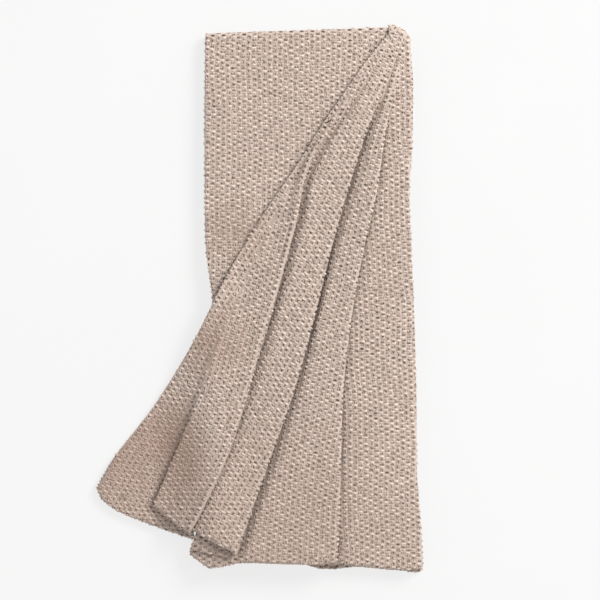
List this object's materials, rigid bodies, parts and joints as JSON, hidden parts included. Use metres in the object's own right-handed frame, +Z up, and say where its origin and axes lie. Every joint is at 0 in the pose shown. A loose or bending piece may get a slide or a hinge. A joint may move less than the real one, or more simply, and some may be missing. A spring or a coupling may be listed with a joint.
{
  "type": "knit throw",
  "caption": "Knit throw in seed stitch, folded in half and laid flat with one side gathered into a fan of pleats.",
  "frame": {"origin": "centre of the folded throw's box, on the surface that it lies on", "axes": "+Z up off the surface, +Y along the throw towards its top fold, +X across it towards the straight right edge"},
  "size_m": [0.5058, 0.8498, 0.0581],
  "materials": {
    "knit": "matte marled wool knit"
  },
  "bodies": {
    "root": {"knit_throw": "knit"}
  },
  "joints": []
}
